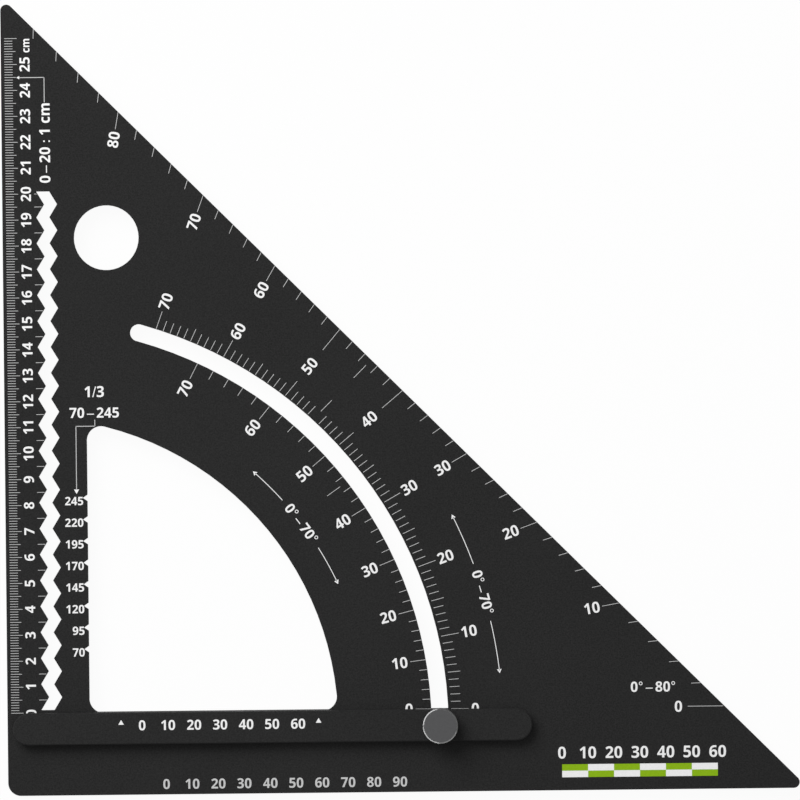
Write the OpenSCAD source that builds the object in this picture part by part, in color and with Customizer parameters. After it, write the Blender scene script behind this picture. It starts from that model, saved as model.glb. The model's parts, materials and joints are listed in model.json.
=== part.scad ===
// Rafter square: a triangular marking plate with a fence that swings in an arc slot.
// It lies on its back, front face up. X runs along the bottom edge and Y up the ruler edge.
// The origin is the middle of the plate's square outline, at the back of the rear bar.

/* [Blade] */
// Overall length of each straight edge
leg = 305; // [260:1:360]
// Thickness of the plate
blade_t = 3; // [2:0.1:5]
// Radius of the two pointed corners
tip_r = 2.3; // [1:0.1:4]
// Radius of the right-angle corner
heel_r = 5; // [2:0.5:8]

/* [Hanging hole] */
// Diameter of the hole that the tool hangs by
hang_d = 25; // [20:0.5:28]
// Distance of the hole's centre from the ruler edge
hang_x = 39.9; // [36:0.1:43]
// Distance of the hole's centre from the bottom edge
hang_y = 214.8; // [205:0.1:220]

/* [Window] */
// Width of the plate left of the window and below it
rail_w = 31.6; // [30:0.1:34]
// Radius of the window's large arc
window_r = 118.9; // [100:0.1:122]
// Centre of that arc, from the ruler edge
window_x = 8.5; // [6:0.1:10]
// Centre of that arc, from the bottom edge
window_y = 26.9; // [24:0.1:28]
// Radius of the window's three corners
window_corner_r = 5.5; // [3:0.1:8]

/* [Notches] */
// Smallest rafter depth that has a notch
rafter_first = 70; // [50:5:95]
// Step from one notched rafter depth to the next
rafter_step = 25; // [20:1:30]
// Number of notches
notch_count = 8; // [4:1:9]
// Share of the rafter depth that a notch marks, as one over this
rafter_share = 3; // [3:1:5]
// Width of a notch at the window's edge
notch_w = 2.5; // [1.5:0.1:4]
// Depth of a notch
notch_depth = 1.8; // [0.8:0.1:2.5]

/* [Zigzag slot] */
// Distance from one tooth to the next
tooth_pitch = 10; // [8:0.5:12]
// Number of teeth
tooth_count = 20; // [10:1:21]
// Sideways reach of a tooth
tooth_reach = 3; // [1.5:0.1:4]
// Width of the slot, measured along the bottom edge's direction
zigzag_w = 5.1; // [4:0.1:6]
// Distance of the tooth tips from the ruler edge
tooth_x = 13; // [10:0.1:15]
// Height of the first tip and of the notches above their printed value
scribe_lead = 1; // [0.5:0.1:2]

/* [Fence] */
// Overall length of a fence bar
bar_l = 200; // [180:1:240]
// Width of a fence bar
bar_w = 12.3; // [11.8:0.1:16]
// Thickness of a fence bar
bar_t = 5; // [4.5:0.1:8]
// Bevel along the bars' outer edges
bar_bevel = 0.4; // [0.2:0.05:0.8]
// Gap between the plate and each bar
bar_gap = 0.15; // [0.1:0.01:0.3]

/* [Pivot] */
// Distance of the pivot from the ruler edge
pivot_x = 8.3; // [7:0.1:10]
// Distance of the pivot from the bottom edge
pivot_y = 25.75; // [24:0.05:28]
// Diameter of the pivot pin
pin_d = 6; // [5:0.1:6.5]
// How far the pin goes into the front bar
pin_front = 3.6; // [2.5:0.1:3.8]
// How far the pin goes into the rear bar
pin_rear = 2.4; // [1.8:0.1:2.6]
// Diameter of the pivot washers
washer_d = 11; // [9:0.1:11.2]
// Thickness of the pivot washers
washer_t = 0.5; // [0.4:0.05:0.8]
// Thread diameter of the pivot screw
screw_d = 4; // [3:0.1:4]
// Head diameter of the pivot screw
screw_head_d = 7.5; // [6.5:0.1:7.6]
// Length of the pivot screw
screw_l = 8; // [6:0.5:9]
// Key size across the flats of the screw's socket
screw_key = 2.5; // [1.5:0.1:2.5]
// Depth of the screw's socket
screw_key_depth = 1.5; // [1:0.1:1.8]

/* [Clamp] */
// Radius of the arc slot about the pivot
slot_r = 158.4; // [152:0.1:164]
// Width of the arc slot
slot_w = 6.5; // [6.4:0.1:8]
// Angle that the fence swings through
swing = 74; // [40:1:74]
// Thread diameter of the clamp stud
stud_d = 6; // [5:0.1:6]
// Diameter of the stud's head
stud_head_d = 10; // [9:0.1:11]
// Width across the head's two flats, which keep it from turning
stud_flats = 8; // [7:0.1:8.5]
// Thickness of the stud's head
stud_head_t = 2; // [1.5:0.1:2.5]
// Outer diameter of the knob's washer
clamp_washer_d = 12; // [10:0.1:12.5]
// Thickness of the knob's washer
clamp_washer_t = 0.8; // [0.5:0.1:1.2]
// Diameter of the knob
knob_d = 13.5; // [13:0.1:18]
// Height of the knob
knob_h = 6.2; // [5.5:0.1:10]
// Thickness of the knob's closed top
knob_top = 1.3; // [1:0.1:1.8]
// Bevel round the knob's top
knob_bevel = 0.4; // [0.3:0.05:0.8]
// Plain rim above and below the knob's fluted grip
knob_rim = 1; // [0.8:0.1:1.5]
// Number of flutes round the knob
flute_count = 40; // [24:1:44]
// Diameter of the round cutter that makes a flute
flute_d = 1; // [0.7:0.05:1.1]
// Depth of a flute
flute_depth = 0.25; // [0.1:0.05:0.35]

/* [Fits] */
// Play of the pivot pin in the plate, on the radius
pivot_play = 0.05; // [0.02:0.01:0.1]
// Play of a thread in its tapped hole, on the radius
thread_play = 0.05; // [0.03:0.01:0.1]
// Play of a stud, screw or washer in its hole, on the radius
hole_play = 0.15; // [0.1:0.05:0.3]

/* [Hidden] */

$fn = 96;
cut = 1;
anodised_black = [0.17, 0.17, 0.17];
steel = [0.66, 0.67, 0.68];
knob_grey = [0.34, 0.34, 0.35];
acetal_white = [0.86, 0.86, 0.83];

// Heights of the layers, from the back of the rear bar upwards
blade_z = bar_t + bar_gap;
front_z = blade_z + blade_t + bar_gap;
clamp_washer_z = front_z + bar_t;
knob_z = clamp_washer_z + clamp_washer_t;
pin_z = bar_t - pin_rear;
pin_top_z = front_z + pin_front;
stud_top_z = knob_z + knob_h - knob_top - thread_play;

// The fence's upper edge is the zero line of every scale
zero_y = pivot_y + bar_w / 2;
bar_span = bar_l - bar_w;
washer_seat = washer_t - bar_gap;
screw_head_t = (screw_head_d - screw_d) / 2;

// Round ends and corners are cut this much fuller than the edges they run into, on the radius
blend = 0.03;

// The straight edges would meet here if the pointed corners were not rounded
sharp_leg = leg + sqrt(2) * tip_r;
tip_inset = tip_r / tan(22.5);

// Centres of the window's three round corners
corner_reach = window_r - window_corner_r;
corner_near = rail_w + window_corner_r;
corner_far_x = window_x + sqrt(pow(corner_reach, 2) - pow(corner_near - window_y, 2));
corner_far_y = window_y + sqrt(pow(corner_reach, 2) - pow(corner_near - window_x, 2));

// The point on the ring of radius r at angle a
function polar(r, a) = [r * cos(a), r * sin(a)];

// Angles of the two places where the window's large arc runs into a round corner
low_angle = atan2(corner_near - window_y, corner_far_x - window_x);
high_angle = atan2(corner_far_y - window_y, corner_near - window_x);

// Everything on the plate is measured from its right-angle corner
module from_heel(z = 0) {
    translate([-leg / 2, -leg / 2, z]) children();
}

// Everything on the fence is measured from the pivot
module from_pivot(z = 0) {
    from_heel(z) translate([pivot_x, pivot_y, 0]) children();
}

module at_clamp(z = 0) {
    from_pivot(z) translate([slot_r, 0, 0]) children();
}

// Triangle with a round corner at the heel and at each tip
module blade_outline() {
    polygon([
        [heel_r, 0],
        [sharp_leg - tip_inset, 0],
        [sharp_leg - tip_inset, 0] + polar(tip_r, 45) + [0, tip_r],
        [0, sharp_leg - tip_inset] + polar(tip_r, 45) + [tip_r, 0],
        [0, sharp_leg - tip_inset],
        [0, heel_r],
        [heel_r, heel_r]
    ]);
    translate([heel_r, heel_r]) circle(heel_r);
    translate([sharp_leg - tip_inset, tip_r]) circle(tip_r);
    translate([tip_r, sharp_leg - tip_inset]) circle(tip_r);
}

// Quarter-round opening: the large arc and two straight strips, joined by three round corners
module window_outline() {
    beyond = 1.5 * window_r;
    intersection() {
        translate([window_x, window_y]) circle(window_r, $fn = 360);
        polygon([
            [corner_near, corner_near],
            [corner_far_x, corner_near],
            [window_x, window_y] + polar(beyond, low_angle),
            [window_x, window_y] + polar(beyond, 45),
            [window_x, window_y] + polar(beyond, high_angle),
            [corner_near, corner_far_y]
        ]);
    }
    translate([rail_w, corner_near]) square([window_corner_r, corner_far_y - corner_near]);
    translate([corner_near, rail_w]) square([corner_far_x - corner_near, window_corner_r]);
    for (c = [[corner_near, corner_near], [corner_far_x, corner_near], [corner_near, corner_far_y]])
        translate(c) circle(window_corner_r + blend);
}

// One scribing notch for each rafter depth, cut into the window's left edge
module notches() {
    for (i = [0 : notch_count - 1])
        translate([rail_w, zero_y + scribe_lead + (rafter_first + i * rafter_step) / rafter_share])
            polygon([
                [cut, -notch_w / 2],
                [0, -notch_w / 2],
                [-notch_depth, 0],
                [0, notch_w / 2],
                [cut, notch_w / 2]
            ]);
}

// Slot with a tooth at every whole step of the ruler
module zigzag_outline() {
    half = tooth_pitch / 2;
    function side(x) = [
        for (i = [0 : 2 * tooth_count]) [x + tooth_reach * (i % 2), zero_y + scribe_lead + i * half]
    ];
    left = side(tooth_x);
    right = side(tooth_x + zigzag_w);
    polygon(concat(left, [for (i = [len(right) - 1 : -1 : 0]) right[i]]));
}

// Arc slot about the pivot, with a round end at each limit of the swing
module arc_slot(h) {
    rotate_extrude(angle = swing, $fn = 360) translate([slot_r - slot_w / 2, 0]) square([slot_w, h]);
    for (a = [0, swing]) rotate(a) translate([slot_r, 0, 0]) cylinder(r = slot_w / 2 + blend, h = h);
}

module blade() {
    color(anodised_black) difference() {
        from_heel(blade_z) linear_extrude(blade_t) blade_outline();
        from_heel(blade_z - cut) linear_extrude(blade_t + 2 * cut) {
            window_outline();
            notches();
            zigzag_outline();
        }
        from_heel(blade_z - cut) translate([hang_x, hang_y, 0]) cylinder(d = hang_d, h = blade_t + 2 * cut);
        from_pivot(blade_z - cut) arc_slot(blade_t + 2 * cut);
        from_pivot(blade_z - cut) cylinder(r = pin_d / 2 + pivot_play, h = blade_t + 2 * cut);
    }
}

// Plain bar with round ends. The face at z = 0 lies towards the plate, the outer edges are bevelled.
module bar_body() {
    half = bar_w / 2;
    side = [[half, 0], [half, bar_t - bar_bevel], [half - bar_bevel, bar_t]];
    rotate([90, 0, 90]) linear_extrude(bar_span)
        polygon(concat(side, [for (i = [2 : -1 : 0]) [-side[i][0], side[i][1]]]));
    for (end = [[0, 90], [bar_span, -90]])
        translate([end[0], 0, 0]) rotate(end[1]) rotate_extrude(angle = 180)
            polygon(concat([[0, 0]], side, [[0, bar_t]]));
}

module front_fence_bar() {
    color(anodised_black) difference() {
        from_pivot(front_z) bar_body();
        from_pivot(front_z - cut) cylinder(d = pin_d, h = pin_front + cut);
        from_pivot(front_z - cut) cylinder(r = washer_d / 2 + hole_play, h = washer_seat + cut);
        at_clamp(front_z - cut) cylinder(r = stud_d / 2 + hole_play, h = bar_t + 2 * cut);
    }
}

// Flat-sided round head of the clamp stud, or the pocket for it
module stud_head(play, h) {
    intersection() {
        cylinder(r = stud_head_d / 2 + play, h = h);
        translate([0, 0, h / 2]) cube([stud_head_d * 2, stud_flats + 2 * play, h], center = true);
    }
}

module rear_fence_bar() {
    color(anodised_black) difference() {
        from_pivot(bar_t) mirror([0, 0, 1]) bar_body();
        from_pivot(pin_z) cylinder(r = pin_d / 2 + hole_play, h = pin_rear + cut);
        from_pivot(bar_t - washer_seat) cylinder(r = washer_d / 2 + hole_play, h = washer_seat + cut);
        from_pivot(-cut) cylinder(r = screw_d / 2 + hole_play, h = bar_t);
        from_pivot() screw_head();
        at_clamp(-cut) cylinder(r = stud_d / 2 + hole_play, h = bar_t + 2 * cut);
        at_clamp(-cut) stud_head(hole_play, stud_head_t + cut);
    }
}

module pivot_pin() {
    color(steel) difference() {
        from_pivot(pin_z) cylinder(d = pin_d, h = pin_top_z - pin_z);
        from_pivot(pin_z - cut) cylinder(r = screw_d / 2 + thread_play, h = screw_l - pin_z + thread_play + cut);
    }
}

// Countersunk cone, or the seat that it beds in
module screw_head() {
    cylinder(d1 = screw_head_d, d2 = screw_d, h = screw_head_t);
}

module pivot_screw() {
    color(steel) difference() {
        from_pivot() {
            screw_head();
            cylinder(d = screw_d, h = screw_l);
        }
        from_pivot(-cut) cylinder(d = screw_key / cos(30), h = screw_key_depth + cut, $fn = 6);
    }
}

module pivot_washer(z) {
    color(acetal_white) difference() {
        from_pivot(z) cylinder(d = washer_d, h = washer_t);
        from_pivot(z - cut) cylinder(r = pin_d / 2 + hole_play, h = washer_t + 2 * cut);
    }
}

module front_pivot_washer() {
    pivot_washer(blade_z + blade_t);
}

module rear_pivot_washer() {
    pivot_washer(blade_z - washer_t);
}

module clamp_stud() {
    color(steel) {
        at_clamp() stud_head(0, stud_head_t);
        at_clamp() cylinder(d = stud_d, h = stud_top_z);
    }
}

module clamp_washer() {
    color(steel) difference() {
        at_clamp(clamp_washer_z) cylinder(d = clamp_washer_d, h = clamp_washer_t);
        at_clamp(clamp_washer_z - cut) cylinder(r = stud_d / 2 + hole_play, h = clamp_washer_t + 2 * cut);
    }
}

// Blind thumb nut: bevelled rim, straight flutes between two plain bands, tapped from below
module clamp_knob() {
    r = knob_d / 2;
    flute_h = knob_h - 2 * knob_rim - knob_bevel;
    color(knob_grey) difference() {
        at_clamp(knob_z) rotate_extrude()
            polygon([[0, 0], [r, 0], [r, knob_h - knob_bevel], [r - knob_bevel, knob_h], [0, knob_h]]);
        at_clamp(knob_z - cut) cylinder(r = stud_d / 2 + thread_play, h = knob_h - knob_top + cut);
        for (i = [0 : flute_count - 1])
            at_clamp(knob_z + knob_rim) rotate(i * 360 / flute_count)
                translate([r + flute_d / 2 - flute_depth, 0, 0]) cylinder(d = flute_d, h = flute_h, $fn = 24);
    }
}

blade();
front_fence_bar();
rear_fence_bar();
pivot_pin();
pivot_screw();
front_pivot_washer();
rear_pivot_washer();
clamp_stud();
clamp_washer();
clamp_knob();
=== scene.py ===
# %% [markdown]
# # A rafter square, dressed for its photograph
# This tool is a flat black triangle with a ruler edge, three angle scales and a fence that swings in an arc
# slot. The CAD model already holds every solid piece, so it is loaded as a fixed frame and nothing in it is
# moved. What is left to make here is what the eye sees first: the satin black metal, the printed scales and
# the light.

# %% Load the solid model
import json
import math
import bpy
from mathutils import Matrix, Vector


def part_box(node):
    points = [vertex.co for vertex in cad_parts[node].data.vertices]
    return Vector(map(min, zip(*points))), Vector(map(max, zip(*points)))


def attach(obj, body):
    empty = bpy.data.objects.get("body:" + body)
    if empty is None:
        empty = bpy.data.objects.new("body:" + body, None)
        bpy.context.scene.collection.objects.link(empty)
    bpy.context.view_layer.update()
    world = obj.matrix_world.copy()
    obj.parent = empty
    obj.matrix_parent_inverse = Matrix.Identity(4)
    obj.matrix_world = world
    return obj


MM = 0.001
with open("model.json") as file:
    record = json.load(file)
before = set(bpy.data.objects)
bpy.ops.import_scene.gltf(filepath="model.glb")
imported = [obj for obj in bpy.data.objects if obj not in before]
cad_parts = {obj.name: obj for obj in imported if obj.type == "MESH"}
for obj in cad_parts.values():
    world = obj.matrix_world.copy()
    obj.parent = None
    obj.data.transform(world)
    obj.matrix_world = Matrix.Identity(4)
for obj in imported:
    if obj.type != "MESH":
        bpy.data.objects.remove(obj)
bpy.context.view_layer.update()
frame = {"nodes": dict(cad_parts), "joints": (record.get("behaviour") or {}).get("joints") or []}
scene = bpy.context.scene


# %% [markdown]
# ## Measuring from the right-angle corner
# A carpenter measures a square from its right-angle corner, the heel. Typing in metres from the middle of
# the model would work too, but the numbers would mean nothing. So `place` turns millimetres from the heel
# into metres in the model. The faces that carry print, the pivot, the zero line and the radius of the slot
# are read from the frame, so the scales follow them if the model changes.

# %% Places on the tool
heel, blade_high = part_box("blade")
bar_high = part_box("front_fence_bar")[1]
knob_low, knob_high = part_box("clamp_knob")
pivot = next(joint["pos_m"] for joint in frame["joints"] if joint["name"] == "fence_swing")
# Heights in the model, in metres.
BLADE_FACE = blade_high.z
BAR_FACE = bar_high.z
# Lengths and places from the heel, in millimetres.
LEG = (blade_high.x - heel.x) / MM
PIVOT_X = (pivot[0] - heel.x) / MM
PIVOT_Y = (pivot[1] - heel.y) / MM
ZERO_Y = (bar_high.y - heel.y) / MM
HALF_BAR = ZERO_Y - PIVOT_Y
SLOT_R = ((knob_low.x + knob_high.x) / 2 - heel.x) / MM - PIVOT_X
KNOB_R = (knob_high.x - knob_low.x) / 2 / MM


def place(x, y):
    """Millimetres from the heel, as metres in the model."""
    return heel.x + x * MM, heel.y + y * MM


print("pivot:", round(PIVOT_X, 2), round(PIVOT_Y, 2), "zero line:", round(ZERO_Y, 2))
print("leg:", round(LEG, 2), "slot's radius:", round(SLOT_R, 2), "knob's radius:", round(KNOB_R, 2))

# %% [markdown]
# ## Small tools for materials
# Colours are picked as sRGB hex values, as in any drawing program, but the renderer works in linear light,
# and `linear` does that change. `add_node` adds a node with its settings, its plain socket values and its
# links in one call, so that each material below reads as a list of steps. `new_finish` starts a material,
# and `per_metre` turns the real size of a pattern into the scale that a texture asks for. A noise pattern
# may run from 0 to 1, but most of it lies between two milder values, so tones are spread between those.

# %% Colour and node helpers
NOISE_LOW, NOISE_HIGH = 0.3, 0.7


def linear(hex_colour):
    """An sRGB hex colour as linear red, green, blue and alpha."""
    channels = [int(hex_colour[i:i + 2], 16) / 255 for i in (1, 3, 5)]
    return [c / 12.92 if c <= 0.04045 else ((c + 0.055) / 1.055) ** 2.4 for c in channels] + [1.0]


def add_node(tree, kind, values=None, links=None, **settings):
    """Adds one node: settings on the node, plain values on its sockets, links from other sockets."""
    node = tree.nodes.new(kind)
    for name, value in settings.items():
        setattr(node, name, value)
    for name, value in (values or {}).items():
        node.inputs[name].default_value = value
    for name, source in (links or {}).items():
        tree.links.new(source, node.inputs[name])
    return node


def new_finish(name):
    """A new material, with its node tree and its shader."""
    material = bpy.data.materials.new(name)
    material.use_nodes = True
    return material, material.node_tree, material.node_tree.nodes["Principled BSDF"]


def per_metre(size_mm):
    """Texture scale at which one cell of a pattern is this many millimetres wide."""
    return 1 / (size_mm * MM)


print("mid grey in linear light:", round(linear("#808080")[0], 3))

# %% [markdown]
# ## Black anodised aluminium
# The plate and the bars are aluminium sheet, blasted and then anodised black. The dye sits in a layer of
# oxide, so to the light this is no bare metal. The blasting leaves tiny pits, so the black is not one flat
# tone: it has a fine grain, and it shines softly and evenly. A picture could give that grain, but a noise
# pattern works on every side and needs no unwrapping. The real pits are near 0.05 mm. They are drawn about
# ten times as coarse here, because finer ones vanish at the size of the picture. A second, broad noise lets
# the sheen drift a little from place to place.

# %% Make the black finish
PIT_MM = 0.55
PIT_DEPTH_MM = 0.03
PIT_STRENGTH = 0.25
BLACK_SHINE = 0.08
SATIN_LOW, SATIN_HIGH = 0.5, 0.62


def black_anodised(name, dark, pale, cloud_mm):
    """Blasted and black anodised aluminium: fine pits, a satin sheen that drifts in clouds of cloud_mm."""
    material, tree, shader = new_finish(name)
    shader.inputs["Metallic"].default_value = 0.0
    shader.inputs["Specular IOR Level"].default_value = BLACK_SHINE
    where = add_node(tree, "ShaderNodeTexCoord")
    pits = add_node(
        tree, "ShaderNodeTexNoise",
        values={"Scale": per_metre(PIT_MM), "Detail": 2.0, "Roughness": 0.6},
        links={"Vector": where.outputs["Object"]},
    )
    tone = add_node(tree, "ShaderNodeValToRGB", links={"Fac": pits.outputs["Fac"]})
    tone.color_ramp.elements[0].position = NOISE_LOW
    tone.color_ramp.elements[0].color = linear(dark)
    tone.color_ramp.elements[1].position = NOISE_HIGH
    tone.color_ramp.elements[1].color = linear(pale)
    cloud = add_node(
        tree, "ShaderNodeTexNoise",
        values={"Scale": per_metre(cloud_mm), "Detail": 3.0},
        links={"Vector": where.outputs["Object"]},
    )
    sheen = add_node(
        tree, "ShaderNodeMapRange",
        values={"From Min": NOISE_LOW, "From Max": NOISE_HIGH, "To Min": SATIN_LOW, "To Max": SATIN_HIGH},
        links={"Value": cloud.outputs["Fac"]},
    )
    bump = add_node(
        tree, "ShaderNodeBump",
        values={"Strength": PIT_STRENGTH, "Distance": PIT_DEPTH_MM * MM},
        links={"Height": pits.outputs["Fac"]},
    )
    tree.links.new(tone.outputs["Color"], shader.inputs["Base Color"])
    tree.links.new(sheen.outputs["Result"], shader.inputs["Roughness"])
    tree.links.new(bump.outputs["Normal"], shader.inputs["Normal"])
    return material


blade_black = black_anodised("black_anodised_plate", "#191919", "#2a2a2a", cloud_mm=60)
bar_black = black_anodised("black_anodised_bar", "#1a1a1a", "#2b2b2b", cloud_mm=35)
print("made", blade_black.name, "and", bar_black.name)

# %% [markdown]
# ## Turned metal
# The knob, the stud, the screw and the pin come off a lathe. A lathe tool leaves fine rings about the
# turning axis. They could be cut as real grooves, but they are far too shallow to show as form, so a ring
# pattern about the piece's own axis does it in the bump. The real rings are 0.1 to 0.2 mm apart. They are
# drawn 1.25 mm apart, because finer ones vanish at the size of the picture. A fine noise lets the tone and
# the gloss vary, as handling does. The knob is satin grey anodised, and only its bevel is cut smooth.

# %% Make the turned finishes
RING_MM = 1.25
RING_DEPTH_MM = 0.01
RING_STRENGTH = 0.12
# How many waves a wave pattern of scale 1 has to the metre.
WAVES = 20 / (2 * math.pi)
WEAR_MM = 1.2
WEAR_LOW, WEAR_HIGH = 0.35, 0.65
WORN_TONE = 0.9
GLOSS_DRIFT = 0.05
STEEL = "#b4b5b8"
KNOB_METALLIC = 0.15


def turned_metal(name, colour, axis, metallic, roughness):
    """Lathe-turned metal: fine rings about the vertical axis through this point of the plate."""
    material, tree, shader = new_finish(name)
    shader.inputs["Metallic"].default_value = metallic
    where = add_node(tree, "ShaderNodeTexCoord")
    centred = add_node(
        tree, "ShaderNodeMapping",
        values={"Location": (-axis[0], -axis[1], 0)},
        links={"Vector": where.outputs["Object"]},
    )
    rings = add_node(
        tree, "ShaderNodeTexWave",
        wave_type="RINGS", rings_direction="Z",
        values={"Scale": per_metre(RING_MM) / WAVES, "Distortion": 0.4, "Detail": 1.0},
        links={"Vector": centred.outputs["Vector"]},
    )
    wear = add_node(
        tree, "ShaderNodeTexNoise",
        values={"Scale": per_metre(WEAR_MM), "Detail": 4.0},
        links={"Vector": where.outputs["Object"]},
    )
    tone = add_node(tree, "ShaderNodeValToRGB", links={"Fac": wear.outputs["Fac"]})
    tone.color_ramp.elements[0].position = WEAR_LOW
    tone.color_ramp.elements[0].color = [WORN_TONE * c for c in linear(colour)[:3]] + [1.0]
    tone.color_ramp.elements[1].position = WEAR_HIGH
    tone.color_ramp.elements[1].color = linear(colour)
    gloss = add_node(
        tree, "ShaderNodeMapRange",
        values={
            "From Min": NOISE_LOW, "From Max": NOISE_HIGH,
            "To Min": roughness - GLOSS_DRIFT, "To Max": roughness + GLOSS_DRIFT,
        },
        links={"Value": wear.outputs["Fac"]},
    )
    bump = add_node(
        tree, "ShaderNodeBump",
        values={"Strength": RING_STRENGTH, "Distance": RING_DEPTH_MM * MM},
        links={"Height": rings.outputs["Fac"]},
    )
    tree.links.new(tone.outputs["Color"], shader.inputs["Base Color"])
    tree.links.new(gloss.outputs["Result"], shader.inputs["Roughness"])
    tree.links.new(bump.outputs["Normal"], shader.inputs["Normal"])
    return material


pivot_at = place(PIVOT_X, PIVOT_Y)
clamp_at = place(PIVOT_X + SLOT_R, PIVOT_Y)
pivot_steel = turned_metal("turned_steel_pivot", STEEL, pivot_at, metallic=1.0, roughness=0.3)
clamp_steel = turned_metal("turned_steel_clamp", STEEL, clamp_at, metallic=1.0, roughness=0.3)
knob_grey = turned_metal("grey_anodised_knob", "#4e4e4f", clamp_at, metallic=KNOB_METALLIC, roughness=0.6)
print("made", pivot_steel.name, clamp_steel.name, knob_grey.name)

# %% [markdown]
# The bevel of the knob is a narrow ring that mirrors what stands around it, so it is bright on the side of
# a lamp and as dark as the face on the other. It could be a piece of its own, but on the real knob it is
# the same metal, so it is mixed into the knob's material. First comes a mask, which is 1 where a point is
# further from the axis than the flat face reaches and also higher than the foot of the bevel.

# %% Find the knob's bevel
BEVEL_MM = 0.4
# The mask starts a hair before the bevel, so that it takes in all of it.
MARGIN_MM = 0.02
tree = knob_grey.node_tree
where = next(node for node in tree.nodes if node.type == "TEX_COORD")
centred = next(node for node in tree.nodes if node.type == "MAPPING")
flat = add_node(
    tree, "ShaderNodeVectorMath", operation="MULTIPLY",
    values={1: (1, 1, 0)},
    links={0: centred.outputs["Vector"]},
)
away = add_node(tree, "ShaderNodeVectorMath", operation="LENGTH", links={0: flat.outputs["Vector"]})
outside = add_node(
    tree, "ShaderNodeMath", operation="GREATER_THAN",
    values={1: (KNOB_R - BEVEL_MM - MARGIN_MM) * MM},
    links={0: away.outputs["Value"]},
)
height = add_node(tree, "ShaderNodeSeparateXYZ", links={"Vector": where.outputs["Object"]})
above = add_node(
    tree, "ShaderNodeMath", operation="GREATER_THAN",
    values={1: knob_high.z - (BEVEL_MM + MARGIN_MM) * MM},
    links={0: height.outputs["Z"]},
)
on_bevel = add_node(
    tree, "ShaderNodeMath", operation="MULTIPLY",
    links={0: outside.outputs["Value"], 1: above.outputs["Value"]},
)
print("the bevel starts", round(KNOB_R - BEVEL_MM, 2), "mm from the axis")

# %% [markdown]
# Where the mask is 1, the knob's colour, metal and roughness give way to those of a smooth cut. A Mix node
# has sockets for every kind of value, and they are told apart by their places: 2 and 3 take numbers, and 6
# and 7 take colours.

# %% Smooth the knob's bevel
KNOB_SHINE = 0.2
BEVEL_ROUGHNESS = 0.22
shader = tree.nodes["Principled BSDF"]
shader.inputs["Specular IOR Level"].default_value = KNOB_SHINE
colour = add_node(
    tree, "ShaderNodeMix", data_type="RGBA",
    values={7: linear("#585858")},
    links={0: on_bevel.outputs["Value"], 6: shader.inputs["Base Color"].links[0].from_socket},
)
metal = add_node(
    tree, "ShaderNodeMapRange",
    values={"To Min": KNOB_METALLIC, "To Max": 1.0},
    links={"Value": on_bevel.outputs["Value"]},
)
gloss = add_node(
    tree, "ShaderNodeMix", data_type="FLOAT",
    values={3: BEVEL_ROUGHNESS},
    links={0: on_bevel.outputs["Value"], 2: shader.inputs["Roughness"].links[0].from_socket},
)
tree.links.new(colour.outputs[2], shader.inputs["Base Color"])
tree.links.new(metal.outputs["Result"], shader.inputs["Metallic"])
tree.links.new(gloss.outputs[0], shader.inputs["Roughness"])
print("the knob's material has", len(tree.nodes), "nodes")

# %% [markdown]
# ## Acetal and ink
# The two thin pivot washers are white acetal, a smooth and slightly waxy plastic. The scales are screen
# printed: a thin coat of white ink, matt, with a faint unevenness where it took less well on the grain.
# Hairlines take less ink than broad figures and dry greyer. The green ink shines least, which keeps its
# colour deep. All are plain plastics to the light, so one recipe makes them, with a cloudy tone of its own
# scale.

# %% Make the plastic finishes
PLASTIC_SHINE = 0.5
GREEN_SHINE = 0.1
WAX_MM = 3.0
WAX_ROUGHNESS = 0.35
INK_CLOUD_MM = 0.8
INK_ROUGHNESS = 0.6


def smooth_plastic(name, dark, pale, cloud_mm, roughness, shine=PLASTIC_SHINE):
    """Acetal or printing ink: an even coat with a faint cloudiness, and shine as its specular level."""
    material, tree, shader = new_finish(name)
    shader.inputs["Roughness"].default_value = roughness
    shader.inputs["Specular IOR Level"].default_value = shine
    where = add_node(tree, "ShaderNodeTexCoord")
    cloud = add_node(
        tree, "ShaderNodeTexNoise",
        values={"Scale": per_metre(cloud_mm), "Detail": 3.0},
        links={"Vector": where.outputs["Object"]},
    )
    tone = add_node(tree, "ShaderNodeValToRGB", links={"Fac": cloud.outputs["Fac"]})
    tone.color_ramp.elements[0].position = NOISE_LOW
    tone.color_ramp.elements[0].color = linear(dark)
    tone.color_ramp.elements[1].position = NOISE_HIGH
    tone.color_ramp.elements[1].color = linear(pale)
    tree.links.new(tone.outputs["Color"], shader.inputs["Base Color"])
    return material


acetal = smooth_plastic("white_acetal", "#dcdbd4", "#e4e3dd", WAX_MM, WAX_ROUGHNESS)
white_ink = smooth_plastic("white_screen_ink", "#f6f6f6", "#fdfdfd", INK_CLOUD_MM, INK_ROUGHNESS)
grey_ink = smooth_plastic("grey_screen_ink", "#c5c5c5", "#d0d0d0", INK_CLOUD_MM, INK_ROUGHNESS)
green_ink = smooth_plastic("green_screen_ink", "#8ab414", "#92be16", INK_CLOUD_MM, INK_ROUGHNESS, GREEN_SHINE)
print("made", acetal.name, white_ink.name, grey_ink.name, green_ink.name)

# %% [markdown]
# ## Dress the solid pieces
# Each CAD piece keeps its shape and gets its finish in its material slot. Bars and plate have finishes of
# their own, because two sheets never come out of the dye bath quite the same.

# %% Give each piece its finish
finishes = {
    "blade": blade_black,
    "front_fence_bar": bar_black,
    "rear_fence_bar": bar_black,
    "pivot_pin": pivot_steel,
    "pivot_screw": pivot_steel,
    "front_pivot_washer": acetal,
    "rear_pivot_washer": acetal,
    "clamp_stud": clamp_steel,
    "clamp_washer": clamp_steel,
    "clamp_knob": knob_grey,
}
for name, finish in finishes.items():
    piece = frame["nodes"][name]
    piece.data.materials.clear()
    piece.data.materials.append(finish)
print("dressed", len(finishes), "pieces")

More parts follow.
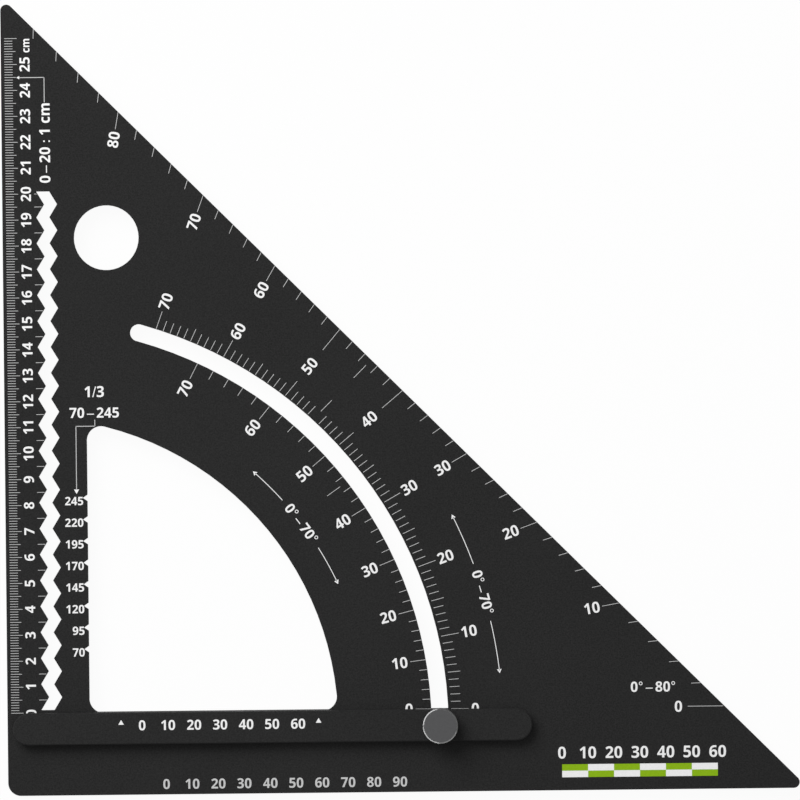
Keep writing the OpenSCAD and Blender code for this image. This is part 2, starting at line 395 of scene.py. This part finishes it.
# %% [markdown]
# ## One printed line, used hundreds of times
# A scale is one short line, repeated. The line is modelled once: a flat plane one unit long and one unit
# wide, raised by the thickness of the ink. A real coat of ink is thinner than 0.03 mm. It is drawn that
# thick so that it never sinks into the face. Whatever is printed has to be closed all round, and `close_up`
# sees to that: it merges doubled corners and turns the faces outwards.

# %% Model the line
INK = 0.03 * MM


def close_up():
    """Merges the doubled corners of the active mesh and turns its faces outwards."""
    bpy.ops.object.mode_set(mode="EDIT")
    bpy.ops.mesh.select_all(action="SELECT")
    bpy.ops.mesh.remove_doubles(threshold=INK / 10)
    bpy.ops.mesh.normals_make_consistent(inside=False)
    bpy.ops.object.mode_set(mode="OBJECT")


def raise_ink():
    """Raises the active flat mesh by the thickness of the ink."""
    bpy.ops.object.mode_set(mode="EDIT")
    bpy.ops.mesh.select_all(action="SELECT")
    bpy.ops.mesh.extrude_region_move(TRANSFORM_OT_translate={"value": (0, 0, INK)})
    close_up()


bpy.ops.object.select_all(action="DESELECT")
bpy.ops.mesh.primitive_plane_add(size=1, location=(0.5, 0, 0))
line = bpy.context.object
bpy.ops.object.transform_apply(location=True, rotation=True, scale=True)
raise_ink()
line.data.materials.append(grey_ink)
print("the line has", len(line.data.polygons), "faces")

# %% [markdown]
# Each mark is a copy of the line with a mesh of its own, stretched to its length and width and turned to
# its angle. An Array modifier would do for the ruler, but the angle scales are not evenly spaced, so copies
# serve all of them. The marks of one scale are then joined into one piece, and their places go into its
# mesh. That piece rides on the body it is printed on.

# %% Copy, join and seat printed marks


def mark(x, y, length, width, turn=0.0, ink=grey_ink):
    """A printed line from (x, y), in millimetres from the heel, running along turn in degrees."""
    copy = line.copy()
    copy.data = line.data.copy()
    copy.data.materials[0] = ink
    scene.collection.objects.link(copy)
    copy.location = (*place(x, y), BLADE_FACE)
    copy.rotation_euler.z = math.radians(turn)
    copy.scale = (length * MM, width * MM, 1)
    return copy


def print_on(body, name, marks):
    """Joins marks into one piece with its place in its mesh, and lets it ride on that body."""
    bpy.ops.object.select_all(action="DESELECT")
    for piece in marks:
        piece.select_set(True)
    bpy.context.view_layer.objects.active = marks[0]
    bpy.ops.object.transform_apply(location=True, rotation=True, scale=True)
    if len(marks) > 1:
        bpy.ops.object.join()
    marks[0].name = name
    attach(marks[0], body)
    print(name, "has", len(marks[0].data.polygons), "faces")


print("ink on the plate lies from", round(BLADE_FACE / MM, 2), "to", round((BLADE_FACE + INK) / MM, 2), "mm")

# %% [markdown]
# ## The ruler edge
# The ruler starts at the fence's upper edge, because that is the edge that rests against the timber. It
# has a line at every millimetre, a longer one at every fifth and the longest at every centimetre. The
# zigzag slot has a pencil point at every whole centimetre, so the row beside it only needs the halves, and
# a short line at its end.

# %% Print the ruler's lines
HAIR = 0.2
RULER_X = 1.4
RULER_CM = 26
LINE_1, LINE_5, LINE_10 = 3.15, 4.3, 4.8
HALVES_X = 12.3
HALF_LINE = 2.9
END_LINE = 1.0
ZIGZAG_CM = 20
ruler = []
for mm in range(10 * RULER_CM + 1):
    reach = LINE_10 if mm % 10 == 0 else LINE_5 if mm % 5 == 0 else LINE_1
    ruler.append(mark(RULER_X, ZERO_Y + mm, reach, HAIR))
for cm in range(ZIGZAG_CM):
    ruler.append(mark(HALVES_X, ZERO_Y + 10 * cm + 5, HALF_LINE, HAIR))
ruler.append(mark(HALVES_X, ZERO_Y + 10 * ZIGZAG_CM, END_LINE, HAIR))
print_on("blade", "ruler_lines", ruler)

# %% [markdown]
# ## Numbers
# Numbers are text objects in Blender's own typeface. It holds a bold cut of the digits and small letters
# at places of their own, and `bold` looks them up; an outward offset of the outline would swell the inner
# corners. A text that is made a mesh comes apart at the rims of its figures, so it is closed up. A text's
# point size isn't the height of its figures, so one nought is made a mesh and measured.

# %% Measure one figure
BOLD_0 = 0x1D7EC
BOLD_A = 0x1D5EE


def bold(words):
    """The same words with digits and small letters in the typeface's bold cut."""
    signs = {str(d): chr(BOLD_0 + d) for d in range(10)}
    signs.update({chr(ord("a") + i): chr(BOLD_A + i) for i in range(26)})
    return "".join(signs.get(sign, sign) for sign in words)


def flat_text(words):
    """Words as a flat mesh of one unit of type, selected and centred on its own box."""
    bpy.ops.object.select_all(action="DESELECT")
    bpy.ops.object.text_add()
    label = bpy.context.object
    label.data.body = bold(words)
    label.data.extrude = INK / 2
    label.data.resolution_u = 4
    bpy.ops.object.convert(target="MESH")
    close_up()
    bpy.ops.object.origin_set(type="ORIGIN_GEOMETRY", center="BOUNDS")
    return bpy.context.object


nought = flat_text("0")
FIGURE = nought.dimensions.y
bpy.data.objects.remove(nought)
print("a figure is", round(FIGURE, 3), "of the point size")

# %% [markdown]
# From that nought, every number is scaled to its height in millimetres and narrowed a little, as the
# figures on the tool are. A number is centred on its place, or leans away from it to one side, so that
# numbers of one and of two figures end in line beside a scale.

# %% Make one number
NARROW = 0.96
THIN_SPACE = chr(0x2009)
# From one number to another: the thin spaces keep the dash clear of the figures.
TO = f"{THIN_SPACE}–{THIN_SPACE}"


def number(words, x, y, height, turn=0.0, face=BLADE_FACE, lean=0, ink=white_ink, narrow=NARROW):
    """Printed words centred at (x, y), or with their left (lean 1) or right (lean -1) end there."""
    label = flat_text(words)
    size = height * MM / FIGURE
    half = label.dimensions.x * size * narrow / 2 / MM
    x += lean * half * math.cos(math.radians(turn))
    y += lean * half * math.sin(math.radians(turn))
    label.scale = (size * narrow, size, 1)
    label.rotation_euler.z = math.radians(turn)
    label.location = (*place(x, y), face + INK / 2)
    label.data.materials.clear()
    label.data.materials.append(ink)
    return label


print("numbers are narrowed to", NARROW)

# %% [markdown]
# The ruler's numbers read up the edge, so each is turned by a quarter.

# %% Print the ruler's numbers
RULER_NUMBER_X = 9.15
RULER_NUMBER_H = 4.0
UNIT_X, UNIT_Y = 9.95, 289.1
UNIT_H = 3.1
UNIT_NARROW = 0.9
numbers = []
for cm in range(1, RULER_CM):
    numbers.append(number(str(cm), RULER_NUMBER_X, ZERO_Y + 10 * cm, RULER_NUMBER_H, 90))
numbers.append(number("cm", UNIT_X, UNIT_Y, UNIT_H, 90, narrow=UNIT_NARROW))
print_on("blade", "ruler_numbers", numbers)

# %% [markdown]
# The ruler's zero is half hidden by the fence and would touch the pivot washer below it, so its lower part
# is cut away with a bisect. The bisect's own fill leaves edges here that three faces share, so the open
# edges are selected and get one face.

# %% Cut the ruler's zero
# How far the zero still runs on under the fence.
ZERO_HIDDEN = 0.5
zero = number("0", RULER_NUMBER_X, ZERO_Y, RULER_NUMBER_H, 90)
bpy.ops.object.transform_apply(location=True, rotation=True, scale=True)
bpy.ops.object.mode_set(mode="EDIT")
bpy.ops.mesh.select_all(action="SELECT")
cut_at = (*place(0, ZERO_Y - ZERO_HIDDEN), 0)
bpy.ops.mesh.bisect(plane_co=cut_at, plane_no=(0, 1, 0), clear_inner=True)
bpy.ops.mesh.select_all(action="DESELECT")
bpy.ops.mesh.select_mode(type="EDGE")
bpy.ops.mesh.select_non_manifold(extend=False)
bpy.ops.mesh.edge_face_add()
bpy.ops.mesh.select_mode(type="VERT")
close_up()
print_on("blade", "ruler_zero", [zero])

# %% [markdown]
# ## Rafter notches
# The eight notches in the window mark a third of common rafter depths. Their numbers stand right beside
# them, and the heading gives the fraction and the range of depths.

# %% Print the notch numbers
DEPTHS = range(70, 246, 25)
NOTCH_X = 30.0
NOTCH_DROP = 0.15
NOTCH_H = 3.27
notches = []
for depth in DEPTHS:
    notches.append(number(str(depth), NOTCH_X, ZERO_Y - NOTCH_DROP + depth / 3, NOTCH_H, lean=-1))
notches.append(number("1/3", x=34.7, y=155.5, height=4.3))
notches.append(number(f"{DEPTHS[0]}{TO}{DEPTHS[-1]}", x=34.6, y=147.4, height=4.0))
print_on("blade", "notch_numbers", notches)

# %% [markdown]
# ## Pointers and arrow heads
# A pointer is two or three printed lines end to end, with a head at its tip. The head is a flat circle of
# three corners, which is a triangle, raised like the lines.

# %% Make an arrow head


def arrow_head(x, y, size, turn, face=BLADE_FACE):
    """A printed triangle centred at (x, y), size wide, that points along turn in degrees."""
    bpy.ops.object.select_all(action="DESELECT")
    bpy.ops.mesh.primitive_circle_add(vertices=3, radius=size * MM / math.sqrt(3), fill_type="NGON")
    head = bpy.context.object
    raise_ink()
    head.rotation_euler.z = math.radians(turn - 90)
    head.location = (*place(x, y), face)
    head.data.materials.append(white_ink)
    return head


print("a head of one millimetre is", round(math.sqrt(3) / 2, 2), "mm long")

# %% [markdown]
# One pointer leads from the heading of the zigzag slot to the ruler, and the other from the heading of the
# notches down to their row.

# %% Print the pointers
LEADER = 0.28
# Each line's start, its length and the way it runs.
SLOT_POINTER = ((7.0, 276.8, 9.7, 0), (16.6, 276.9, 9.7, -90))
NOTCH_POINTER = ((34.8, 144.7, 2.6, -90), (34.9, 142.2, 7.5, 180), (27.5, 142.3, 24.3, -90))
pointers = []
for x, y, length, turn in SLOT_POINTER + NOTCH_POINTER:
    pointers.append(mark(x, y, length, LEADER, turn))
pointers.append(arrow_head(x=6.7, y=276.8, size=1.3, turn=180))
pointers.append(arrow_head(x=27.5, y=117.3, size=2.0, turn=-90))
pointers.append(number(f"0{TO}{ZIGZAG_CM} : 1 cm", x=16.6, y=266.8, height=4.2, turn=90, lean=-1))
print_on("blade", "pointers", pointers)

# %% [markdown]
# ## The angle scales
# The fence's upper edge runs past three scales as it swings, so every line of them lies along that edge:
# it misses the pivot by half the bar's width. For an angle, `along` walks so far out from the middle of
# the scales and then half a bar sideways. That middle is a millimetre to the right of the pivot, where the
# print was registered. The lines of two scales meet the slot's edge, a circle about the pivot, and `out_to`
# says how far out that is. Hips and valleys run flatter than the roof: the tangent of their angle is
# 1/sqrt(2) of the plain one.

# %% Walk along the fence's edge
SCALE_SHIFT = 1.1
SCALE_X = PIVOT_X + SCALE_SHIFT


def along(angle, reach):
    """The point on the fence's upper edge at this swing, so many millimetres out."""
    a = math.radians(angle)
    x = SCALE_X + reach * math.cos(a) - HALF_BAR * math.sin(a)
    y = PIVOT_Y + reach * math.sin(a) + HALF_BAR * math.cos(a)
    return x, y


def out_to(angle, radius):
    """How far out along the fence's edge a circle about the pivot is met."""
    a = math.radians(angle)
    foot_x, foot_y = along(angle, 0)
    foot_x -= PIVOT_X
    foot_y -= PIVOT_Y
    half = foot_x * math.cos(a) + foot_y * math.sin(a)
    return math.sqrt(half ** 2 + radius ** 2 - foot_x ** 2 - foot_y ** 2) - half


def hip_angle(angle):
    """Swing for a hip or valley rafter under a roof of this pitch."""
    return math.degrees(math.atan(math.tan(math.radians(angle)) / math.sqrt(2)))


print("at 45 degrees the hip is at", round(hip_angle(45), 2))

# %% [markdown]
# The slot's outer scale has a line at every degree. The lines begin at the slot's edge and drift away from
# it towards zero. Forty-five is so common that its line stands apart from the others, on every scale.

# %% Print the slot's outer scale
STEEPEST = 70
SLOT_W = 6.5
SLOT_GAP = 0.12
DRIFT = 1.1
END_1, END_5, END_10 = 165.4, 166.4, 168.4
OUTER_45 = (165.3, 171.3)
OUTER_NUMBERED = (0, 10, 20, 30, 60, 70)
OUTER_NUMBER_AT = 169.5
SCALE_H = 4.3
outer = []
for angle in range(STEEPEST + 1):
    start = out_to(angle, SLOT_R + SLOT_W / 2 + SLOT_GAP) + DRIFT * (1 - angle / STEEPEST)
    end = END_10 if angle % 10 == 0 else END_5 if angle % 5 == 0 else END_1
    if angle == 45:
        start, end = OUTER_45
    outer.append(mark(*along(angle, start), end - start, HAIR, angle))
    if angle in OUTER_NUMBERED:
        outer.append(number(str(angle), *along(angle, OUTER_NUMBER_AT), SCALE_H, angle, lean=1))
print_on("blade", "outer_slot_scale", outer)

# %% [markdown]
# The inner scale is for hips and valleys. It has a line at every second degree, which ends at the slot's
# other edge.

# %% Print the slot's inner scale
START_2, START_10 = 150.8, 147.9
INNER_45 = (144.8, 150.9)
INNER_NUMBER_AT = 146.75
inner = []
for angle in [*range(0, STEEPEST + 1, 2), 45]:
    swing = hip_angle(angle)
    start = START_10 if angle % 10 == 0 else START_2
    end = out_to(swing, SLOT_R - SLOT_W / 2 - SLOT_GAP)
    if angle == 45:
        start, end = INNER_45
    inner.append(mark(*along(swing, start), end - start, HAIR, swing))
    if angle % 10 == 0:
        inner.append(number(str(angle), *along(swing, INNER_NUMBER_AT), SCALE_H, swing, lean=-1))
print_on("blade", "inner_slot_scale", inner)

# %% [markdown]
# The long edge carries the third scale. Each of its lines starts at that edge, so how far out it starts
# depends on the angle: the edge is where x and y, measured from the heel, add up to the length of a leg
# and a little more for its round tip. A line that would run into a neighbour's number has a gap or a length
# of its own, and its number stands further in.

# %% Print the long edge's scale
TIP_R = 2.3
EDGE_SUM = LEG + TIP_R * math.sqrt(2)
STEEPEST_LINE = 88
EDGE_GAP, EDGE_GAP_AT = 0.15, {0: 0.6, 45: 2.9}
REACH_2, REACH_10, REACH_AT = 3.65, 6.65, {0: 13.6, 40: 10.3, 45: 6.8, 50: 10.3}
INSET, INSET_AT = 7.85, {0: 16.4, 40: 14.0, 50: 15.4}
edge = []
for angle in [*range(0, STEEPEST_LINE + 1, 2), 45]:
    a = math.radians(angle)
    foot_x, foot_y = along(angle, 0)
    out = (EDGE_SUM - foot_x - foot_y) / (math.cos(a) + math.sin(a))
    gap = EDGE_GAP_AT.get(angle, EDGE_GAP)
    reach = REACH_AT.get(angle, REACH_10 if angle % 10 == 0 else REACH_2)
    edge.append(mark(*along(angle, out - gap - reach), reach, HAIR, angle))
    if angle % 10 == 0:
        inset = INSET_AT.get(angle, INSET)
        edge.append(number(str(angle), *along(angle, out - inset), SCALE_H, angle, lean=-1))
edge.append(number(f"0°{TO}80°", x=248.8, y=39.6, height=4.0))
print_on("blade", "long_edge_scale", edge)

# %% [markdown]
# ## Range arcs
# Between the scales, a thin arc with an arrow head at each end shows the way the fence swings, and the
# range in degrees stands in its middle. The arc is a spin: the end face of a line is turned about the
# pivot in steps and leaves a curved strip behind. With no window, spin turns about the axis the other way
# round, so the axis points down.

# %% Spin an arc
ARC_STEPS = 16


def arc(radius, from_angle, to_angle):
    """A printed arc about the pivot."""
    bpy.ops.object.select_all(action="DESELECT")
    bpy.ops.mesh.primitive_plane_add(size=1, rotation=(math.pi / 2, 0, 0))
    strip = bpy.context.object
    strip.scale = (LEADER * MM, INK, 1)
    strip.location = (radius * MM, 0, INK / 2)
    bpy.ops.object.transform_apply(location=True, rotation=True, scale=True)
    bpy.ops.object.mode_set(mode="EDIT")
    bpy.ops.mesh.select_all(action="SELECT")
    bpy.ops.mesh.spin(
        steps=ARC_STEPS, angle=math.radians(to_angle - from_angle), center=(0, 0, 0), axis=(0, 0, -1)
    )
    close_up()
    strip.rotation_euler.z = math.radians(from_angle)
    strip.location = (*place(PIVOT_X, PIVOT_Y), BLADE_FACE)
    strip.data.materials.append(white_ink)
    return strip


def round_pivot(radius, angle):
    """The point at this angle on a circle about the pivot."""
    a = math.radians(angle)
    return PIVOT_X + radius * math.cos(a), PIVOT_Y + radius * math.sin(a)


print("each stretch of an arc has", ARC_STEPS, "steps")

# %% [markdown]
# Each of the slot's two scales gets such an arc, in two stretches with a gap for the words.

# %% Print the range arcs
# Each arc's radius, its first and last angle and the angle of its words.
RANGE_ARCS = ((131.5, 25, 48, 36.5), (182.6, 6.5, 26, 16.2))
# From the middle of the words to the arc on either side of them.
RANGE_GAP = 11.5
RANGE_HEAD = 1.8
RANGE_H = 4.0
ranges = []
for radius, first, last, middle in RANGE_ARCS:
    gap = math.degrees(RANGE_GAP / radius)
    ranges.append(arc(radius, first, middle - gap))
    ranges.append(arc(radius, middle + gap, last))
    ranges.append(arrow_head(*round_pivot(radius, first), RANGE_HEAD, first - 90))
    ranges.append(arrow_head(*round_pivot(radius, last), RANGE_HEAD, last + 90))
    ranges.append(number(f"0°{TO}{STEEPEST}°", *round_pivot(radius, middle), RANGE_H, middle - 90))
print_on("blade", "range_arcs", ranges)

# %% [markdown]
# ## Working edges
# Two arrow heads on the bar point to the edge that is set against a scale, with a plain row of millimetres
# between them. The bottom of the plate, the edge that is drawn along, has a row in grey. The bar's print
# rides on the fence, so it swings with it. Such a row has a number at every tenth millimetre, so one
# function makes them all.

# %% Print the edge marks
BAR_HEADS_X = (43.9, 119.9)
BAR_HEADS_Y = 27.85
BAR_HEAD = 2.15
BAR_ROW_X, BAR_ROW_Y = 52.0, 26.95
BOTTOM_ROW_X, BOTTOM_ROW_Y = 61.0, 4.0
ROW_H = 3.9


def tens(x, y, height, last, face=BLADE_FACE, ink=white_ink):
    """A row of numbers ten millimetres apart, from 0 at (x, y) to the last."""
    return [number(str(mm), x + mm, y, height, face=face, ink=ink) for mm in range(0, last + 1, 10)]


on_bar = [arrow_head(x, BAR_HEADS_Y, BAR_HEAD, 90, BAR_FACE) for x in BAR_HEADS_X]
on_bar += tens(BAR_ROW_X, BAR_ROW_Y, ROW_H, last=60, face=BAR_FACE)
print_on("fence", "fence_marks", on_bar)
on_bottom = tens(BOTTOM_ROW_X, BOTTOM_ROW_Y, ROW_H, last=90, ink=grey_ink)
print_on("blade", "bottom_edge_marks", on_bottom)

# %% [markdown]
# ## A small check scale
# The wide corner holds a plain check scale, of the kind that is printed on maps: two rows of blocks ten
# millimetres long, in turn white and green, with the numbers above them. A block is a mark as broad as its
# row. The blocks are the last marks, so the line that all of them were copied from is removed.

# %% Print the check scale
CHECK_X, CHECK_Y = 213.5, 6.25
BLOCK, BLOCK_H = 10.0, 2.5
BLOCKS = 6
CHECK_NUMBER_Y = 14.5
CHECK_NUMBER_H = 4.6
white_blocks = []
green_blocks = []
for i in range(BLOCKS):
    for row in range(2):
        ink, blocks = (white_ink, white_blocks) if (i + row) % 2 == 0 else (green_ink, green_blocks)
        blocks.append(mark(CHECK_X + BLOCK * i, CHECK_Y + BLOCK_H * row, BLOCK, BLOCK_H, ink=ink))
white_blocks += tens(CHECK_X, CHECK_NUMBER_Y, CHECK_NUMBER_H, last=60)
print_on("blade", "check_scale_white", white_blocks)
print_on("blade", "check_scale_green", green_blocks)
bpy.data.objects.remove(line)

# %% [markdown]
# ## Floor and light
# The tool lies on a pale floor. The photograph's background is pure white, so to the camera the floor
# glows white with a strength of 1, mixed with a share of real white paint that still takes the tool's
# shadow. Mirrored in metal it glows too, but it throws no light of its own on the tool. `seen` tells the
# rays that show a surface from those that only carry light.

# %% Lay the floor
FLOOR_SIZE = 6.0
FLOOR_DROP = 0.1 * MM
GLOW_SHARE = 0.95


def seen(tree):
    """1 for a ray that shows the surface, straight or by a mirror or glass, and 0 for any other."""
    ray = add_node(tree, "ShaderNodeLightPath")
    mirrored = add_node(
        tree, "ShaderNodeMath", operation="MAXIMUM",
        links={0: ray.outputs["Is Camera Ray"], 1: ray.outputs["Is Glossy Ray"]},
    )
    through = add_node(
        tree, "ShaderNodeMath", operation="MAXIMUM",
        links={0: mirrored.outputs["Value"], 1: ray.outputs["Is Transmission Ray"]},
    )
    return through.outputs["Value"]


bpy.ops.object.select_all(action="DESELECT")
bpy.ops.mesh.primitive_plane_add(size=FLOOR_SIZE, location=(0, 0, -FLOOR_DROP))
floor = bpy.context.object
floor.name = "floor"
paint, tree, shader = new_finish("white_floor_paint")
tree.nodes.remove(shader)
share = add_node(
    tree, "ShaderNodeMath", operation="MULTIPLY",
    values={1: GLOW_SHARE},
    links={0: seen(tree)},
)
matt = add_node(tree, "ShaderNodeBsdfDiffuse", values={"Color": linear("#f0f0f0")})
glow = add_node(tree, "ShaderNodeEmission", values={"Color": linear("#ffffff"), "Strength": 1.0})
both = add_node(
    tree, "ShaderNodeMixShader",
    links={0: share.outputs["Value"], 1: matt.outputs["BSDF"], 2: glow.outputs["Emission"]},
)
tree.links.new(both.outputs["Shader"], tree.nodes["Material Output"].inputs["Surface"])
floor.data.materials.append(paint)
print("floor at", round(floor.location.z / MM, 2), "mm")

# %% [markdown]
# The sky is white where it is seen, and fills the shadows with a weak, even light.

# %% Light the sky
SKY = 0.15
world = bpy.data.worlds.new("studio")
scene.world = world
world.use_nodes = True
tree = world.node_tree
sky = tree.nodes["Background"]
sky.inputs["Color"].default_value = linear("#ffffff")
power = add_node(
    tree, "ShaderNodeMapRange",
    values={"To Min": SKY, "To Max": 1.0},
    links={"Value": seen(tree)},
)
tree.links.new(power.outputs["Result"], sky.inputs["Strength"])
print("the sky lights with a strength of", SKY)

# %% [markdown]
# A broad soft lamp stands up and to the left, where the shadows of the bar and the knob come from. A small
# one hangs beside the camera and opens those shadows without casting any that show. Three strip lamps
# stand low around the knob and give its smooth bevel a bright edge. In a studio, cards would keep them off
# the plate, so here they are linked to the knob alone. The lamps are hidden from the camera, so that they
# don't stand in the way of other views.

# %% Set the lamps
# Each strip's direction from the knob, in degrees, and its watts.
STRIPS = {"upper_strip": (138, 5.4), "lower_strip": (222, 5.4), "end_strip": (298, 1.9)}
STRIP_AWAY = 0.9
STRIP_UP = 0.07
STRIP_SIZE = (1.5, 0.13)


def soft_lamp(name, at, size, watts):
    """A rectangular soft lamp that looks at the middle of the tool."""
    bpy.ops.object.light_add(type="AREA", location=at)
    lamp = bpy.context.object
    lamp.name = name
    lamp.data.shape = "RECTANGLE"
    lamp.data.size, lamp.data.size_y = size
    lamp.data.energy = watts
    lamp.visible_camera = False
    lamp.rotation_mode = "QUATERNION"
    lamp.rotation_quaternion = (-lamp.location).to_track_quat("-Z", "Y")
    return lamp


key = soft_lamp("key_lamp", at=(-0.85, 1.0, 1.4), size=(1.3, 1.4), watts=38)
soft_lamp("top_lamp", at=(0.0, -0.11, 1.6), size=(0.5, 0.5), watts=2.3)
knob_only = bpy.data.collections.new("lit_by_strips")
knob_only.objects.link(frame["nodes"]["clamp_knob"])
for name, (azimuth, watts) in STRIPS.items():
    a = math.radians(azimuth)
    at = (clamp_at[0] + STRIP_AWAY * math.cos(a), clamp_at[1] + STRIP_AWAY * math.sin(a), STRIP_UP)
    soft_lamp(name, at, STRIP_SIZE, watts).light_linking.receiver_collection = knob_only
print("key lamp:", key.data.energy, "W, and", len(STRIPS), "strips")

# %% [markdown]
# ## Camera
# The photograph looks straight down at the plate. A long lens from three metres keeps the edges parallel.
# The lens follows from the width of the picture, measured on the plate's face. The tool lies turned by a
# little over half a degree in the picture, so the camera is turned the other way.

# %% Set the camera
VIEW_MM = 308.3
DISTANCE = 3.0
DOWN_MM = 1.45
TURN = -0.6
SENSOR_MM = 36
bpy.ops.object.camera_add(location=(0, -DOWN_MM * MM, DISTANCE), rotation=(0, 0, math.radians(TURN)))
camera = bpy.context.object
camera.data.sensor_width = SENSOR_MM
camera.data.lens = SENSOR_MM * (DISTANCE - BLADE_FACE) / (VIEW_MM * MM)
scene.camera = camera
scene.view_settings.view_transform = "Standard"
print("lens:", round(camera.data.lens, 1), "mm")
